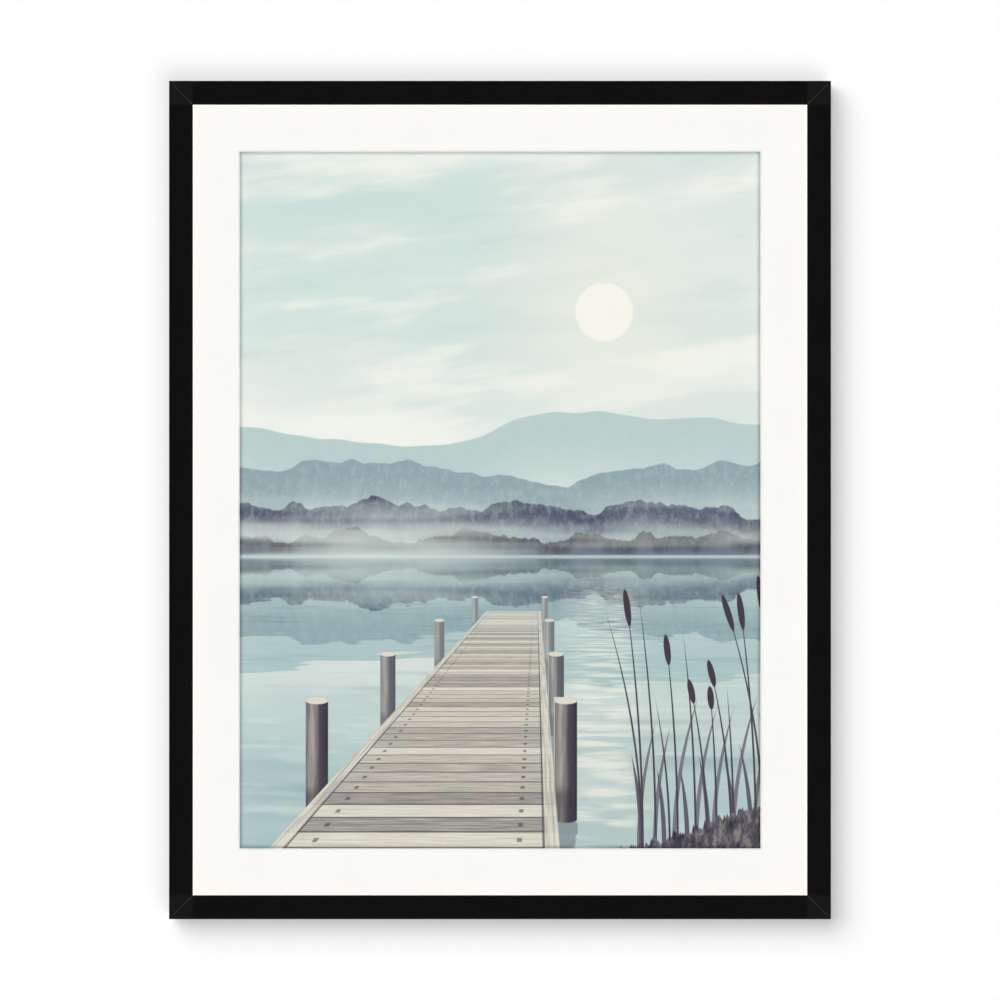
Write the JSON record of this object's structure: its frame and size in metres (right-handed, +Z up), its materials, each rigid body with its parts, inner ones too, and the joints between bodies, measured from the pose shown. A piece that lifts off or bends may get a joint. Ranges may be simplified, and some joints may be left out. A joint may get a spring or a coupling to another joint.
{
  "type": "framed and matted art print",
  "caption": "Portrait wall picture: flat black mitred wooden frame, clear glazing, wide off-white bevelled window mat and a landscape print, with sawtooth hangers behind.",
  "frame": {"origin": "on the wall, midway between the two hangers, at the height of the wall nails that carry them", "axes": "+Z up along the picture's height, +Y into the wall, the picture faces -Y, +X to a viewer's right"},
  "size_m": [0.563, 0.025, 0.713],
  "materials": {
    "frame_black": "matte",
    "clear_glass": "polished",
    "mat_board": "matte",
    "grey_board": "matte",
    "printed_paper": "matte",
    "paper_tape": "matte",
    "fibre_board": "matte",
    "spring_steel": "satin",
    "plated_steel": "satin",
    "bumper_rubber": "matte"
  },
  "bodies": {
    "root": {"rail_top": "frame_black", "rail_bottom": "frame_black", "rail_left": "frame_black", "rail_right": "frame_black", "v_nail_top_left": "spring_steel", "v_nail_top_right": "spring_steel", "v_nail_bottom_left": "spring_steel", "v_nail_bottom_right": "spring_steel", "glazing": "clear_glass", "window_mat": "mat_board", "spacer_top": "grey_board", "spacer_bottom": "grey_board", "spacer_left": "grey_board", "spacer_right": "grey_board", "print": "printed_paper", "tape_left": "paper_tape", "tape_right": "paper_tape", "mount_board": "mat_board", "back_board": "fibre_board", "point_top_1": "spring_steel", "point_top_2": "spring_steel", "point_top_3": "spring_steel", "point_bottom_1": "spring_steel", "point_bottom_2": "spring_steel", "point_bottom_3": "spring_steel", "point_left_1": "spring_steel", "point_left_2": "spring_steel", "point_left_3": "spring_steel", "point_left_4": "spring_steel", "point_right_1": "spring_steel", "point_right_2": "spring_steel", "point_right_3": "spring_steel", "point_right_4": "spring_steel", "hanger_left": "plated_steel", "hanger_right": "plated_steel", "nail_left_hanger_left": "plated_steel", "nail_left_hanger_right": "plated_steel", "nail_right_hanger_left": "plated_steel", "nail_right_hanger_right": "plated_steel", "bumper_left": "bumper_rubber", "bumper_right": "bumper_rubber"}
  },
  "joints": []
}
